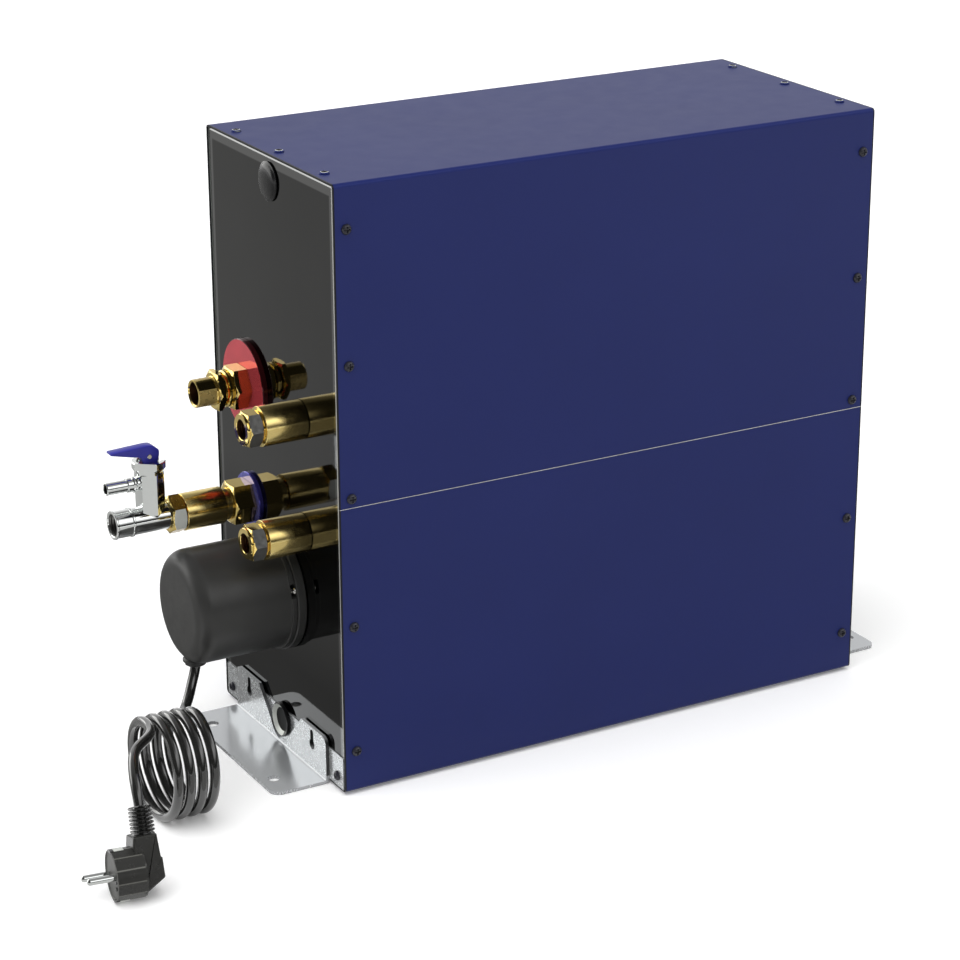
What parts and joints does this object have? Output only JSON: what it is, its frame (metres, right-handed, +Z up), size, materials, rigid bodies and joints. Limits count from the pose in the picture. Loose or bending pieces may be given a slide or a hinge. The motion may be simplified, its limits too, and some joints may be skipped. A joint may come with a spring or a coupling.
{
  "type": "marine_water_heater",
  "caption": "Boxy boat water heater in folded blue sheet covers on foot brackets, with brass hot, cold and coolant fittings, a lever safety valve, a round element cover and a coiled mains lead",
  "frame": {"origin": "Centre of the four foot-bolt holes, on the plane the feet stand on", "axes": "+X along the housing away from the water fittings, +Y towards the back, +Z up"},
  "size_m": [0.7174, 0.2852, 0.4549],
  "materials": {
    "cover_paint": "semi-gloss navy powder coat",
    "foam": "rigid insulation foam round the tank",
    "galvanised": "galvanised steel",
    "mirror_panel": "polished stainless steel",
    "black_plastic": "moulded black plastic",
    "dark_screw": "black oxide",
    "red_plastic": "red washer",
    "blue_plastic": "blue moulded plastic",
    "brass": "polished brass",
    "chrome": "bright chrome plate",
    "steel": "nickel-plated steel",
    "cord_rubber": "black rubber sheath"
  },
  "bodies": {
    "housing": {"upper_cover": "cover_paint", "lower_cover": "cover_paint", "insulated_core": "foam", "base_tray": "galvanised", "end_panel_left": "mirror_panel", "end_panel_right": "mirror_panel", "foot_bracket_left": "galvanised", "foot_bracket_right": "galvanised", "top_hole_plug": "black_plastic", "drain_plug": "black_plastic", "front_cover_screws": "dark_screw", "back_cover_screws": "dark_screw", "top_cover_screws": "cover_paint", "tray_screws": "dark_screw", "hot_disc": "red_plastic", "hot_nut": "brass", "hot_outlet": "brass", "cold_disc": "blue_plastic", "cold_nut": "brass", "cold_sleeve": "brass", "coolant_tube_upper": "brass", "coolant_collar_upper": "brass", "coolant_tube_lower": "brass", "coolant_collar_lower": "brass", "valve_nut": "brass", "valve_body": "chrome", "valve_collar": "chrome", "valve_hose_tail": "chrome", "lever_pin": "steel", "element_base": "black_plastic", "element_cover": "black_plastic", "element_screws": "dark_screw", "cable_gland": "black_plastic", "cord_upper": "cord_rubber", "cord_coil": "cord_rubber", "cord_lower": "cord_rubber", "plug_strain_relief": "cord_rubber", "plug_body": "black_plastic", "plug_pins": "steel"},
    "lever": {"valve_lever": "blue_plastic"}
  },
  "joints": [
    {"name": "lever_hinge", "type": "hinge", "parent": "housing", "child": "lever", "pos_m": [-0.3031, 0.046, 0.2245], "axis": [0, 1, 0], "range_deg": [0, 75]}
  ]
}
